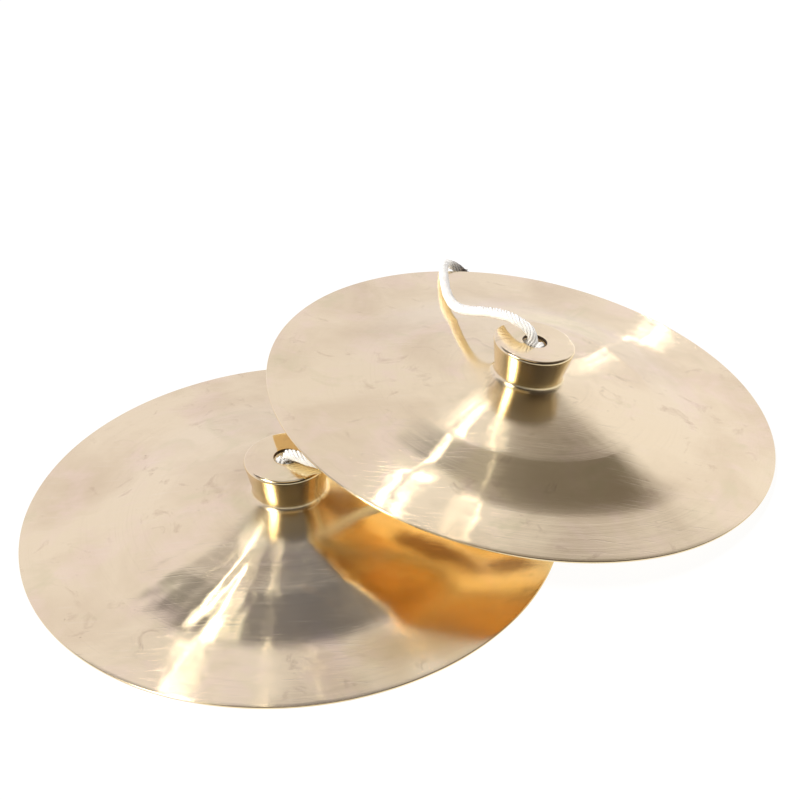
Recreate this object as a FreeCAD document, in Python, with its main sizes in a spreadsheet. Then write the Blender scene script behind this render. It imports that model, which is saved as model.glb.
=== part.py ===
# Pair of hand cymbals: two identical wide-brimmed brass plates, each with a
# hollow grip knob and a twisted cotton cord held by a stopper knot.
# One plate lies flat, the other leans on it with its right rim on the ground.
# Millimetres, +Z up, origin at the bottom centre of the box round both plates.
import FreeCAD, Part
import Sketcher
import math
import os

V = FreeCAD.Vector
doc = FreeCAD.newDocument("hand_cymbals")

# ---------------------------------------------------------------- dimensions
sheet = doc.addObject("Spreadsheet::Sheet", "dims")
DIMS = [
    # alias, value, meaning
    ("rim_radius", 150.0, "outer radius of the plate"),
    ("rim_thick", 1.2, "thickness at the rim"),
    ("rest_radius", 146.0, "inner radius of the flat resting ring under the rim"),
    ("bow_radius", 108.0, "radius where the brim meets the bow"),
    ("bow_top", 3.0, "height of the upper face there"),
    ("bow_under", 1.7, "height of the under face there"),
    ("crease_radius", 77.0, "radius of the crease half way up the bow"),
    ("crease_top", 9.4, "height of the upper face at the crease"),
    ("crease_under", 7.9, "height of the under face at the crease"),
    ("neck_radius", 19.3, "radius of the knob side at the cone"),
    ("neck_top", 17.4, "height of the cone's upper face there"),
    ("neck_in_radius", 17.6, "inner radius of the knob at the cone"),
    ("neck_under", 16.0, "height of the cone's under face there"),
    ("knob_radius", 24.0, "radius of the knob at its top"),
    ("knob_in_radius", 22.2, "inner radius of the knob under its top"),
    ("knob_top", 39.5, "height of the knob's top face"),
    ("knob_ceiling", 37.5, "height of the under side of the knob's top"),
    ("hole_radius", 7.4, "cord hole in the knob's top"),
    ("edge_round", 0.45, "rounding of the rim edge"),
    ("brim_blend", 70.0, "blend radius between brim and bow"),
    ("neck_blend", 5.0, "blend radius at the foot of the knob"),
    ("knob_round", 1.4, "rounding of the knob's top edge"),
    ("knob_in_round", 1.2, "rounding inside the knob's top"),
    ("hole_round", 0.5, "rounding of the cord hole"),
    ("lower_x", -65.20, "axis of the flat plate"),
    ("lower_y", -35.02, "axis of the flat plate"),
    ("upper_dx", 132.64, "axis of the leaning plate from the flat one"),
    ("upper_dy", 70.06, "axis of the leaning plate from the flat one"),
    ("lean_angle", 10.23, "tilt of the leaning plate, degrees"),
    ("lean_azimuth", 5.39, "direction in which it leans down, degrees from +X"),
    ("cord_radius", 3.0, "half the diameter of the twisted cord"),
    ("knot_radius", 9.2, "radius of the stopper knot"),
    ("knot_flat", 6.4, "radius of the knot's faces where the cord enters"),
    ("knot_gap", 0.3, "gap between knot and knob ceiling"),
]
for i, (name, value, note) in enumerate(DIMS, start=1):
    sheet.set("A%d" % i, note)
    sheet.set("B%d" % i, str(value))
    sheet.setAlias("B%d" % i, name)
doc.recompute()


def dim(name):
    return float(getattr(sheet, name))


# ----------------------------------------------------------------- helpers
def origin_plane(body, role):
    for feature in body.Origin.OriginFeatures:
        if feature.Role == role:
            return feature
    raise RuntimeError("no origin plane " + role)


def ok(obj):
    bad = [s for s in obj.State if s in ("Invalid", "Error")]
    if bad:
        raise RuntimeError("%s is %s" % (obj.Name, bad))
    if obj.Shape.isNull() or not obj.Shape.isValid():
        raise RuntimeError(obj.Name + " has no valid shape")


def closed_sketch(body, name, points, arcs=()):
    """Closed outline in the XZ plane. points is a list of (x, y) where each
    number is an alias in the sheet, a formula of aliases or a plain number."""
    sketch = body.newObject("Sketcher::SketchObject", name)
    sketch.AttachmentSupport = [(origin_plane(body, "XZ_Plane"), "")]
    sketch.MapMode = "FlatFace"

    def value(v):
        if isinstance(v, str):
            return float(amount(v))
        return float(v)

    xy = [(value(a), value(b)) for a, b in points]
    n = len(xy)
    for i in range(n):
        a, b = xy[i], xy[(i + 1) % n]
        if i in dict(arcs):
            centre, radius = dict(arcs)[i]
            c = (value(centre[0]), value(centre[1]))
            start = math.atan2(a[1] - c[1], a[0] - c[0])
            end = math.atan2(b[1] - c[1], b[0] - c[0])
            circle = Part.Circle(V(c[0], c[1], 0), V(0, 0, 1), value(radius))
            sketch.addGeometry(Part.ArcOfCircle(circle, min(start, end), max(start, end)), False)
        else:
            sketch.addGeometry(Part.LineSegment(V(a[0], a[1], 0), V(b[0], b[1], 0)), False)
    arc_ids = dict(arcs)

    def end_of(i, last):
        # an arc drawn anticlockwise may run against the outline
        if i in arc_ids:
            c = (value(arc_ids[i][0][0]), value(arc_ids[i][0][1]))
            a, b = xy[i], xy[(i + 1) % n]
            forward = math.atan2(a[1] - c[1], a[0] - c[0]) < math.atan2(b[1] - c[1], b[0] - c[0])
            return 2 if (last == forward) else 1
        return 2 if last else 1

    for i in range(n):
        j = (i + 1) % n
        sketch.addConstraint(Sketcher.Constraint("Coincident", i, end_of(i, True), j, end_of(j, False)))
    for i, (px, py) in enumerate(points):
        for axis, p, v in (("DistanceX", px, xy[i][0]), ("DistanceY", py, xy[i][1])):
            if abs(v) < 1e-9:
                # the point lies on the sketch's own axis
                sketch.addConstraint(Sketcher.Constraint("PointOnObject", i, end_of(i, False), -1 if axis == "DistanceY" else -2))
                continue
            k = sketch.addConstraint(Sketcher.Constraint(axis, -1, 1, i, end_of(i, False), v))
            label = "p%d_%s" % (i, "across" if axis == "DistanceX" else "up")
            sketch.renameConstraint(k, label)
            if isinstance(p, str):
                sketch.setExpression("Constraints." + label, formula(p))
    for i, (centre, radius) in arc_ids.items():
        k = sketch.addConstraint(Sketcher.Constraint("Radius", i, value(radius)))
        label = "arc%d_radius" % i
        sketch.renameConstraint(k, label)
        if isinstance(radius, str):
            sketch.setExpression("Constraints." + label, formula(radius))
    doc.recompute()
    return sketch


def formula(text):
    """'knob_top - knot_gap' becomes 'dims.knob_top - dims.knot_gap'."""
    words = text.split(" ")
    return " ".join("dims." + w if w[0].isalpha() else w for w in words)


def amount(text):
    total, sign = 0.0, 1.0
    for w in text.split(" "):
        if w == "+":
            sign = 1.0
        elif w == "-":
            sign = -1.0
        else:
            total += sign * (dim(w) if w[0].isalpha() else float(w))
    return total


def revolve(body, sketch, name):
    feature = body.newObject("PartDesign::Revolution", name)
    feature.Profile = sketch
    feature.ReferenceAxis = (sketch, ["V_Axis"])
    feature.Angle = 360.0
    feature.Reversed = False
    sketch.Visibility = False
    doc.recompute()
    ok(feature)
    body.Tip = feature
    return feature


def ring_edges(feature, spots, tol=0.05):
    """Names of the circular edges round the local Z axis at the given
    (radius, height) spots."""
    names = []
    for r, z in spots:
        found = None
        for i, e in enumerate(feature.Shape.Edges, start=1):
            c = e.Curve
            if not isinstance(c, Part.Circle) or e.Length < 6.0 * c.Radius:
                continue
            if abs(c.Radius - r) < tol and abs(c.Center.z - z) < tol and math.hypot(c.Center.x, c.Center.y) < tol:
                found = "Edge%d" % i
        if found is None:
            raise RuntimeError("no ring edge at %.2f, %.2f" % (r, z))
        names.append(found)
    return names


def fillet(body, base, spots, radius, name):
    feature = body.newObject("PartDesign::Fillet", name)
    feature.Base = (base, ring_edges(base, spots))
    if isinstance(radius, str):
        feature.Radius = amount(radius)
        feature.setExpression("Radius", formula(radius))
    else:
        feature.Radius = radius
    doc.recompute()
    ok(feature)
    if abs(feature.Shape.Volume - base.Shape.Volume) < 1e-6:
        raise RuntimeError(name + " changed nothing")
    body.Tip = feature
    return feature


# ------------------------------------------------------------------ plates
# Half section, from the cord hole over the knob, cone, bow and brim to the
# rim and back along the under side.
PLATE = [
    ("hole_radius", "knob_top"),
    ("knob_radius", "knob_top"),
    ("neck_radius", "neck_top"),
    ("crease_radius", "crease_top"),
    ("bow_radius", "bow_top"),
    ("rim_radius", "rim_thick"),
    ("rim_radius", 0.0),
    ("rest_radius", 0.0),
    ("bow_radius + 0.2", "bow_under"),
    ("crease_radius - 0.2", "crease_under"),
    ("neck_in_radius", "neck_under"),
    ("knob_in_radius", "knob_ceiling"),
    ("hole_radius", "knob_ceiling"),
]


def make_plate(label):
    body = doc.addObject("PartDesign::Body", label)
    body.Label = label
    sketch = closed_sketch(body, label + "_section", PLATE)
    f = revolve(body, sketch, label + "_turned")
    p = lambda i: (amount(PLATE[i][0]), amount(PLATE[i][1]) if isinstance(PLATE[i][1], str) else PLATE[i][1])
    f = fillet(body, f, [p(4)], "brim_blend", label + "_brim_blend")
    f = fillet(body, f, [p(8)], "brim_blend + rim_thick", label + "_brim_blend_under")
    f = fillet(body, f, [p(2)], "neck_blend", label + "_neck")
    f = fillet(body, f, [p(10)], "neck_blend + 1.6", label + "_neck_under")
    f = fillet(body, f, [p(1)], "knob_round", label + "_knob_edge")
    f = fillet(body, f, [p(11)], "knob_in_round", label + "_knob_inside")
    f = fillet(body, f, [p(0), p(12)], "hole_round", label + "_hole_edge")
    f = fillet(body, f, [p(5), p(6)], "edge_round", label + "_rim_edge")
    return body


lower_plate = make_plate("lower_plate")
upper_plate = make_plate("upper_plate")

# Where the two plates stand. The leaning plate's rim just meets the ground.
lean = math.radians(dim("lean_angle"))
az = math.radians(dim("lean_azimuth"))
er = dim("edge_round")
lift = er + (dim("rim_radius") - er) * math.sin(lean) - er * math.cos(lean)
LOWER = FreeCAD.Placement(V(dim("lower_x"), dim("lower_y"), 0.0), FreeCAD.Rotation())
UPPER = FreeCAD.Placement(
    V(dim("lower_x") + dim("upper_dx"), dim("lower_y") + dim("upper_dy"), lift),
    FreeCAD.Rotation(V(-math.sin(az), math.cos(az), 0.0), dim("lean_angle")))
lower_plate.Placement = LOWER
upper_plate.Placement = UPPER
doc.recompute()


# ----------------------------------------------------------- stopper knots
# A ball under the cord hole, cut flat where the cord enters and leaves.
def make_knot(label, place):
    body = doc.addObject("PartDesign::Body", label)
    body.Label = label
    R = dim("knot_radius")
    flat = dim("knot_flat")
    half = math.sqrt(R * R - flat * flat)
    top = dim("knob_ceiling") - dim("knot_gap")
    centre = top - half
    outline = [(0.0, top - 2.0 * half), ("knot_flat", top - 2.0 * half), ("knot_flat", top), (0.0, top)]
    sketch = closed_sketch(body, label + "_section", outline, arcs=[(1, ((0.0, centre), "knot_radius"))])
    revolve(body, sketch, label + "_turned")
    body.Placement = place
    return body, top, top - 2.0 * half


lower_knot, knot_top, knot_bottom = make_knot("lower_stopper_knot", LOWER)
upper_knot, _, _ = make_knot("upper_stopper_knot", UPPER)
doc.recompute()


# ------------------------------------------------------------------- cords
# Straight runs joined by tangent arcs; each arc is as large as its runs allow.
def cord_wire(points, label):
    P = [V(*p) for p in points]
    edges, radii = [], []
    start = P[0]
    for i in range(1, len(P) - 1):
        a, b = P[i] - P[i - 1], P[i + 1] - P[i]
        la, lb = a.Length, b.Length
        a, b = a / la, b / lb
        turn = a.getAngle(b)
        cut = 0.45 * min(la, lb)
        radius = cut / math.tan(turn / 2.0)
        t0, t1 = P[i] - a * cut, P[i] + b * cut
        inward = (b - a).normalize()
        centre = P[i] + inward * (radius / math.cos(turn / 2.0))
        middle = centre - inward * radius
        edges.append(Part.LineSegment(start, t0).toShape())
        edges.append(Part.Arc(t0, middle, t1).toShape())
        radii.append(round(radius, 1))
        start = t1
    edges.append(Part.LineSegment(start, P[-1]).toShape())
    print(label, "runs", [round((q - p).Length, 1) for p, q in zip(P, P[1:])], "radii", radii)
    return Part.Wire(edges), radii


def make_cord(label, points, place):
    wire, radii = cord_wire(points, label)
    first = V(*points[1]) - V(*points[0])
    r = dim("cord_radius")
    section = Part.Wire([Part.Edge(Part.Circle(V(*points[0]), first, r))])
    shape = wire.makePipeShell([section], True, True)
    if shape.ShapeType != "Solid":
        shape = shape.Solids[0]
    if shape.Volume < 0:
        shape.reverse()
    expected = math.pi * r * r * wire.Length
    print(label, "length %.1f volume %.1f expected %.1f" % (wire.Length, shape.Volume, expected))
    if abs(shape.Volume - expected) > 0.02 * expected:
        raise RuntimeError(label + " volume is off")
    obj = doc.addObject("Part::Feature", label)
    obj.Label = label
    obj.Shape = shape
    obj.Placement = place
    return obj


# Route points in each plate's own frame, from the stopper knot outward.
LOWER_ROUTE = [
    (0, 0, knot_top), (0, 0, 42.6), (2.6, -3.2, 46.1), (8.0, -7.0, 46.6),
    (14.2, -11.2, 46.0), (22.8, -13.8, 43.4), (32, -12, 34.0), (43, -7.5, 23.8),
    (57, -2.5, 17.2), (74, 0.5, 13.6), (93, 0, 9.7), (112, -4, 6.7),
    (129, -12, 5.7), (141, -24, 5.2),
]
UPPER_ROUTE = [
    (0, 0, knot_top), (0, 0, 42.8), (-3.2, 1.0, 46.6), (-9.2, 5.2, 47.8),
    (-16.6, 14.2, 46.0), (-26, 31, 37.6), (-33.8, 49.5, 25.9), (-40.2, 72.5, 14.8),
    (-43.2, 97, 9.1), (-43.8, 121, 6.3), (-43.9, 139.5, 5.2), (-42.2, 149.5, 4.6),
    (-38.8, 156.6, 2.6), (-33.0, 158.4, 0.4), (-27.0, 157.3, -1.6),
]
# Short tails hanging out of the knots, inside the bells.
LOWER_TAIL = [(0, 0, knot_bottom), (0, 0, knot_bottom - 3.6), (1.6, 0.9, knot_bottom - 6.8), (2.4, 2.3, knot_bottom - 10.0)]
UPPER_TAIL = [(0, 0, knot_bottom), (0, 0, knot_bottom - 3.6), (-1.2, 1.4, knot_bottom - 6.8), (-1.5, 3.0, knot_bottom - 10.0)]

lower_cord = make_cord("lower_cord", LOWER_ROUTE, LOWER)
upper_cord = make_cord("upper_cord", UPPER_ROUTE, UPPER)
lower_tail = make_cord("lower_knot_tail", LOWER_TAIL, LOWER)
upper_tail = make_cord("upper_knot_tail", UPPER_TAIL, UPPER)

# ------------------------------------------------------------------- export
doc.recompute()
parts = [lower_plate, lower_knot, lower_cord, lower_tail,
         upper_plate, upper_knot, upper_cord, upper_tail]
for obj in doc.Objects:
    if any(s in ("Invalid", "Error") for s in obj.State):
        raise RuntimeError("%s is %s" % (obj.Name, obj.State))
for part in parts:
    ok(part)
    if len(part.Shape.Solids) != 1:
        raise RuntimeError(part.Label + " is not one solid")

box = FreeCAD.BoundBox()
for part in (lower_plate, upper_plate):
    box.add(part.Shape.optimalBoundingBox(False, False))
print("plates' box", [round(v, 3) for v in (box.XMin, box.XMax, box.YMin, box.YMax, box.ZMin, box.ZMax)])
print("upper base", UPPER.Base, "knot", round(knot_top, 2), round(knot_bottom, 2))

os.makedirs("parts", exist_ok=True)
for part in parts:
    part.Shape.exportStep("parts/%s.step" % part.Label)
    print("%-20s volume %.1f mm3" % (part.Label, part.Shape.Volume))
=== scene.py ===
import math

import bpy
import numpy as np
from mathutils import Matrix, Vector


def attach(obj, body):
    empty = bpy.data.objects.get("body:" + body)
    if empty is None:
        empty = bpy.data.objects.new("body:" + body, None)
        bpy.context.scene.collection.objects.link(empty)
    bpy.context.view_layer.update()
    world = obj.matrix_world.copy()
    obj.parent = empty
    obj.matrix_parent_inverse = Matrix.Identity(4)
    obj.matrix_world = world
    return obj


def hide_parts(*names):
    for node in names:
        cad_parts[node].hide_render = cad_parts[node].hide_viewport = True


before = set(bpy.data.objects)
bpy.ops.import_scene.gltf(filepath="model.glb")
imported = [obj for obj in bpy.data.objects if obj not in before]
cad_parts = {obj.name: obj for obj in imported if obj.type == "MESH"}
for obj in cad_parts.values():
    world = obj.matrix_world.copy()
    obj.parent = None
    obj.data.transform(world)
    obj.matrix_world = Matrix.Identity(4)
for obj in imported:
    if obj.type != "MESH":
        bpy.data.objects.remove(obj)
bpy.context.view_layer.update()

scene = bpy.context.scene
scene.view_settings.view_transform = "Standard"
scene.view_settings.look = "None"

# ------------------------------------------------------------------ places
# The two plates stand as in the CAD model: one flat, one leaning on it.
LEAN, AZ = math.radians(10.23), math.radians(5.39)
EDGE, RIM = 0.45, 150.0
LIFT = EDGE + (RIM - EDGE) * math.sin(LEAN) - EDGE * math.cos(LEAN)
LOWER = Matrix.Translation((-0.06520, -0.03502, 0.0))
UPPER = Matrix.Translation((0.06744, 0.03504, LIFT / 1000.0)) @ Matrix.Rotation(
    LEAN, 4, Vector((-math.sin(AZ), math.cos(AZ), 0.0)))

# ------------------------------------------------------------------ camera
cam_data = bpy.data.cameras.new("camera")
cam_data.sensor_width = 36.0
cam_data.lens = 67.5
cam_data.clip_start = 0.01
cam_data.clip_end = 50.0
cam = bpy.data.objects.new("camera", cam_data)
scene.collection.objects.link(cam)
back = Vector((0.0163, -0.8291, 0.5588)).normalized()
up = Vector((0.0242, 0.5590, 0.8288))
right = up.cross(back).normalized()
up = back.cross(right).normalized()
cam.matrix_world = Matrix((
    (right.x, up.x, back.x, 0.01046),
    (right.y, up.y, back.y, -0.69468),
    (right.z, up.z, back.z, 0.51932),
    (0, 0, 0, 1)))
scene.camera = cam


# ------------------------------------------------------------------- tools
def mm(points):
    return [Vector((x / 1000.0, y / 1000.0, z / 1000.0)) for x, y, z in points]


def add_mesh(name, verts, faces, uvs=None, attrs=None):
    mesh = bpy.data.meshes.new(name)
    mesh.from_pydata([tuple(map(float, v)) for v in verts], [], faces)
    mesh.update()
    mesh.polygons.foreach_set("use_smooth", np.ones(len(mesh.polygons), bool))
    if uvs is not None:
        layer = mesh.uv_layers.new(name="turn")
        layer.data.foreach_set("uv", np.asarray(uvs, np.float32).ravel())
    for key, values in (attrs or {}).items():
        values = np.asarray(values, np.float32)
        kind = "FLOAT_VECTOR" if values.ndim == 2 else "FLOAT"
        a = mesh.attributes.new(key, kind, "POINT")
        a.data.foreach_set("vector" if values.ndim == 2 else "value", values.ravel())
    ob = bpy.data.objects.new(name, mesh)
    scene.collection.objects.link(ob)
    return ob


def spline_points(points):
    """The line of one NURBS spline through these control points, as Blender draws it."""
    data = bpy.data.curves.new("route", "CURVE")
    data.dimensions = "3D"
    data.resolution_u = 24
    s = data.splines.new("NURBS")
    s.points.add(len(points) - 1)
    for p, c in zip(s.points, points):
        p.co = (c.x, c.y, c.z, 1.0)
    s.order_u = 3
    s.use_endpoint_u = True
    s.resolution_u = 24
    ob = bpy.data.objects.new("route", data)
    scene.collection.objects.link(ob)
    bpy.context.view_layer.update()
    dg = bpy.context.evaluated_depsgraph_get()
    mesh = bpy.data.meshes.new_from_object(ob.evaluated_get(dg), depsgraph=dg)
    line = np.array([v.co for v in mesh.vertices], float)
    bpy.data.objects.remove(ob)
    bpy.data.meshes.remove(mesh)
    keep = [0] + [i for i in range(1, len(line)) if np.linalg.norm(line[i] - line[i - 1]) > 1e-7]
    return line[keep]


def even(line, step):
    """The same line with its points evenly spaced, for sweeping."""
    d = np.r_[0.0, np.cumsum(np.linalg.norm(np.diff(line, axis=0), axis=1))]
    n = max(3, int(round(d[-1] / step)) + 1)
    s = np.linspace(0.0, d[-1], n)
    return np.stack([np.interp(s, d, line[:, i]) for i in range(3)], 1), s


def frames(line, first=None):
    """Unit tangents and two cross directions that turn as little as they can."""
    t = np.gradient(line, axis=0)
    t /= np.linalg.norm(t, axis=1)[:, None]
    a = np.array([1.0, 0.0, 0.0]) if first is None else np.array(first, float)
    out = []
    for k in t:
        a = a - k * (a @ k)
        a /= np.linalg.norm(a)
        out.append(a)
    n = np.array(out)
    return t, n, np.cross(t, n)


# --------------------------------------------------------------- the ropes
YARNS, PITCH = 7, 0.0215
PER_YARN = 10


def lobes():
    """Cross-section of the twisted rope: seven yarns round a core, as a radius for each angle."""
    rho, yr = 2.02e-3, 0.985e-3
    th = np.linspace(0.0, 2 * math.pi, YARNS * PER_YARN, endpoint=False)
    best = np.full(len(th), 1.72e-3)
    for k in range(YARNS):
        d = th - 2 * math.pi * (k + 0.5) / YARNS
        q = yr * yr - (rho * np.sin(d)) ** 2
        hit = (q > 0) & (np.cos(d) > 0)
        r = np.where(hit, rho * np.cos(d) + np.sqrt(np.maximum(q, 0.0)), 0.0)
        best = np.maximum(best, r)
    return th, best


def rope(name, line, phase0, slack, rng, taper=(0.0, 0.0), first=None, soil_and_end_shade=0.0):
    """One closed, lobed, twisted surface along the line. Returns the object, its last phase and cross direction."""
    pts, s = even(line, 0.00058)
    t, n, b = frames(pts, first)
    th, rad = lobes()
    m, k = len(pts), len(th)
    # each yarn swells and tightens a little along its own length
    knots = int(s[-1] / 0.004) + 4
    swell = rng.normal(0.0, 0.028, (YARNS, knots))
    loose = rng.normal(0.0, 0.11, knots)
    size = rng.normal(0.0, 0.018, knots)
    u = np.linspace(0, knots - 1.001, m)
    i0 = u.astype(int)
    f = u - i0
    f = f * f * (3 - 2 * f)
    wob = loose[i0] * (1 - f) + loose[i0 + 1] * f
    siz = 1.0 + size[i0] * (1 - f) + size[i0 + 1] * f
    sw = swell[:, i0] * (1 - f) + swell[:, i0 + 1] * f
    yarn = (np.arange(k) // PER_YARN)
    verts, uv_s, uv_t = [], [], []
    phase = phase0 + 2 * math.pi * s / PITCH + wob * slack
    for j in range(m):
        end = 1.0
        for at, length in ((s[j], taper[0]), (s[-1] - s[j], taper[1])):
            if length > 0 and at < length:
                end = min(end, 0.55 + 0.45 * math.sqrt(max(0.0, 1 - (1 - at / length) ** 2)))
        groove = (rad - 1.72e-3) / (3.0e-3 - 1.72e-3)
        r = rad * siz[j] * end * (1.0 + sw[yarn, j] * groove)
        r = np.minimum(r, 3.12e-3)
        # second, finer twist inside each yarn
        fine = 0.035e-3 * np.sin(th * YARNS * 3.0 + 2 * math.pi * s[j] / 0.0042)
        r = r + fine * np.clip(groove, 0, 1)
        a = th + phase[j]
        verts.append(pts[j] + np.outer(np.cos(a) * r, n[j]) + np.outer(np.sin(a) * r, b[j]))
    verts = np.concatenate(verts)
    c0, c1 = len(verts), len(verts) + 1
    bulge = 0.0007
    verts = np.concatenate([verts, [pts[0] - t[0] * (bulge if taper[0] else 0.0)], [pts[-1] + t[-1] * (bulge if taper[1] else 0.0)]])
    faces, uvs = [], []
    for j in range(m - 1):
        for i in range(k):
            i2 = (i + 1) % k
            faces.append((j * k + i, j * k + i2, (j + 1) * k + i2, (j + 1) * k + i))
            v0, v1 = i / k, (i + 1) / k
            uvs += [(s[j], v0), (s[j], v1), (s[j + 1], v1), (s[j + 1], v0)]
    for i in range(k):
        i2 = (i + 1) % k
        faces.append((c0, i2, i))
        uvs += [(s[0], 0.5), (s[0], (i + 1) / k), (s[0], i / k)]
        faces.append((c1, (m - 1) * k + i, (m - 1) * k + i2))
        uvs += [(s[-1], 0.5), (s[-1], i / k), (s[-1], (i + 1) / k)]
    depth = np.concatenate([np.tile((rad - 1.72e-3) / 1.29e-3, m), [0.6, 0.6]])
    local = verts.copy()
    # painted shade: the last 12.5 mm of the cord darken towards its cut end, with the given strength
    tip_shade = np.repeat(np.clip(1.0 - (s[-1] - s) / 0.0125, 0.0, 1.0) ** 0.5 * soil_and_end_shade, k)
    ob = add_mesh(name, verts, faces, uvs, {"depth": np.clip(depth, 0, 1), "local": local, "tip_shade": np.r_[tip_shade, 0.0, soil_and_end_shade]})
    return ob, pts, phase[-1], n[-1]


def tuft(name, at, along, side, count, length, sagging, soil_and_end_shade, rng):
    """Loose yarn ends: thin tapering strands that splay out of a cut rope end."""
    other = np.cross(along, side)
    verts, faces, depth, uvs = [], [], [], []
    for q in range(count):
        a = 2 * math.pi * (q + rng.uniform(-0.3, 0.3)) / count
        r0 = 2.1e-3 * math.sqrt(rng.uniform(0.15, 1.0))
        out = math.cos(a) * side + math.sin(a) * other
        turn = -math.sin(a) * side + math.cos(a) * other
        ln = length * rng.uniform(0.55, 1.0)
        splay, curl = rng.uniform(0.10, 0.42), rng.uniform(-0.35, 0.35)
        sag = rng.uniform(0.0, 0.25) * sagging
        rr = rng.uniform(0.26e-3, 0.46e-3)
        steps, sides = 9, 7
        line = []
        for j in range(steps):
            f = j / (steps - 1)
            line.append(at + along * (-1.6e-3 + ln * f) + out * (r0 + splay * ln * f * f) + turn * (curl * ln * f * f) - np.array([0, 0, 1.0]) * sag * ln * f ** 2)
        line = np.array(line)
        t, n, b = frames(line, out)
        base = len(verts)
        for j in range(steps):
            f = j / (steps - 1)
            r = rr * (1.0 - 0.72 * f ** 1.6)
            for i in range(sides):
                g = 2 * math.pi * i / sides
                verts.append(line[j] + r * (math.cos(g) * n[j] + math.sin(g) * b[j]))
                depth.append(0.75)
        verts += [line[0], line[-1] + t[-1] * rr * 0.3]
        depth += [0.5, 1.0]
        for j in range(steps - 1):
            for i in range(sides):
                i2 = (i + 1) % sides
                faces.append((base + j * sides + i, base + j * sides + i2, base + (j + 1) * sides + i2, base + (j + 1) * sides + i))
                uvs += [(j * 1e-3, i / sides), (j * 1e-3, (i + 1) / sides), (j * 1e-3 + 1e-3, (i + 1) / sides), (j * 1e-3 + 1e-3, i / sides)]
        for i in range(sides):
            i2 = (i + 1) % sides
            faces.append((base + steps * sides, base + i2, base + i))
            uvs += [(0, 0), (0, 1), (0, 0.5)]
            faces.append((base + steps * sides + 1, base + (steps - 1) * sides + i, base + (steps - 1) * sides + i2))
            uvs += [(0.01, 0), (0.01, 1), (0.01, 0.5)]
    verts = np.array(verts)
    # the loose strands carry an even painted shade of the given strength
    return add_mesh(name, verts, faces, uvs, {"depth": np.array(depth), "local": verts, "tip_shade": np.full(len(verts), soil_and_end_shade)})


# Route points of the cords, as in the CAD model, in each plate's own frame.
KNOT_TOP, KNOT_BOTTOM = 37.2, 23.982
LOWER_ROUTE = mm([
    (0, 0, KNOT_TOP), (0.5, -0.5, 40.8), (2.9, -3.1, 43.1), (8.4, -7.0, 43.6),
    (14.2, -11.2, 43.8), (22.8, -13.8, 42.9), (32, -12, 34.0), (43, -7.5, 23.8),
    (57, -2.5, 17.2), (74, 0.5, 13.6), (93, 0, 9.7), (112, -4, 6.7),
    (129, -12, 5.7), (141, -24, 5.2)])
UPPER_ROUTE = mm([
    (-0.7, 0.1, KNOT_TOP), (-1.5, 0.3, 41.6), (-4.4, 1.3, 45.9), (-9.8, 5.2, 47.6),
    (-16.6, 14.2, 46.0), (-26, 31, 37.6), (-33.8, 49.5, 25.9), (-40.2, 72.5, 14.8),
    (-43.2, 97, 9.1), (-43.8, 121, 6.3), (-43.9, 138.5, 5.2), (-42.6, 147.2, 4.6),
    (-39.2, 152.0, 2.9), (-34.0, 152.9, 0.6), (-29.2, 151.6, -1.4)])
LOWER_TAIL = mm([(0, 0, KNOT_BOTTOM), (0, 0, KNOT_BOTTOM - 3.6), (1.6, 0.9, KNOT_BOTTOM - 6.8), (2.4, 2.3, KNOT_BOTTOM - 10.0)])
UPPER_TAIL = mm([(0, 0, KNOT_BOTTOM), (0, 0, KNOT_BOTTOM - 3.6), (-1.2, 1.4, KNOT_BOTTOM - 6.8), (-1.5, 3.0, KNOT_BOTTOM - 10.0)])


def knot_route(turn):
    """The stopper knot: down the middle, out and round itself one and a half times, tucked back in and out below."""
    pts = [(0, 0, KNOT_TOP), (0.2, 0.1, 33.0), (3.0, 2.4, 30.6), (4.1, 1.9, 33.4), (3.6, 1.0, 37.0), (3.3, -0.9, 36.8), (4.0, -2.2, 33.2), (4.2, -1.2, 29.0)]
    for q in range(0, 13):
        a = math.radians(8 + 45 * q)
        pts.append((6.62 * math.cos(a), 6.62 * math.sin(a), 27.1 + 7.0 * q / 12.0))
    pts += [(-3.4, 1.6, 33.4), (-1.2, 0.8, 30.8), (-0.2, 0.2, 27.6), (0, 0, KNOT_BOTTOM)]
    c, s = math.cos(turn), math.sin(turn)
    return mm([(x * c - y * s, x * s + y * c, z) for x, y, z in pts])


def hand_cord(tag, route, tail, place, body, seed, turn):
    rng = np.random.default_rng(seed)
    line = spline_points([place @ p for p in route])
    knot_line = spline_points([place @ p for p in knot_route(turn)])
    tail_line = spline_points([place @ p for p in tail])
    side = np.array(place.to_3x3() @ Vector((1, 0, 0)))
    # painted shade at the cut end: strong on the upper cord, light on the lower cord
    soil_and_end_shade = 0.97 if tag == "upper" else 0.25
    run, path, phase, last = rope(tag + "_rope", line, 0.6, 1.0, rng, taper=(0.0, 0.004), first=side, soil_and_end_shade=soil_and_end_shade)
    knot, _, _, _ = rope(tag + "_knot", knot_line, 0.6, 0.5, rng, first=side)
    end, tail_path, _, tlast = rope(tag + "_tail", tail_line, 0.6, 0.5, rng, taper=(0.0, 0.003), first=side)
    pieces = []
    for nm, p, l in ((tag + "_frayed_end", path, last), (tag + "_tail_frayed_end", tail_path, tlast)):
        along = p[-1] - p[-3]
        along /= np.linalg.norm(along)
        main = nm == tag + "_frayed_end"
        pieces.append(tuft(nm, p[-1], along, l, 30 if main else 16, 0.0052 if main else 0.0035, 1.0 if tag == "upper" else 0.0, soil_and_end_shade if main else 0.1, rng))
    for piece, node in ((run, tag + "_cord"), (knot, tag + "_stopper_knot"), (end, tag + "_knot_tail")):
        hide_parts(node)
    for piece in [run, knot, end] + pieces:
        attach(piece, body)
    length = float(np.linalg.norm(np.diff(path, axis=0), axis=1).sum())
    print(tag, "cord line", round(length, 4))
    return [run, knot, end] + pieces


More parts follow.
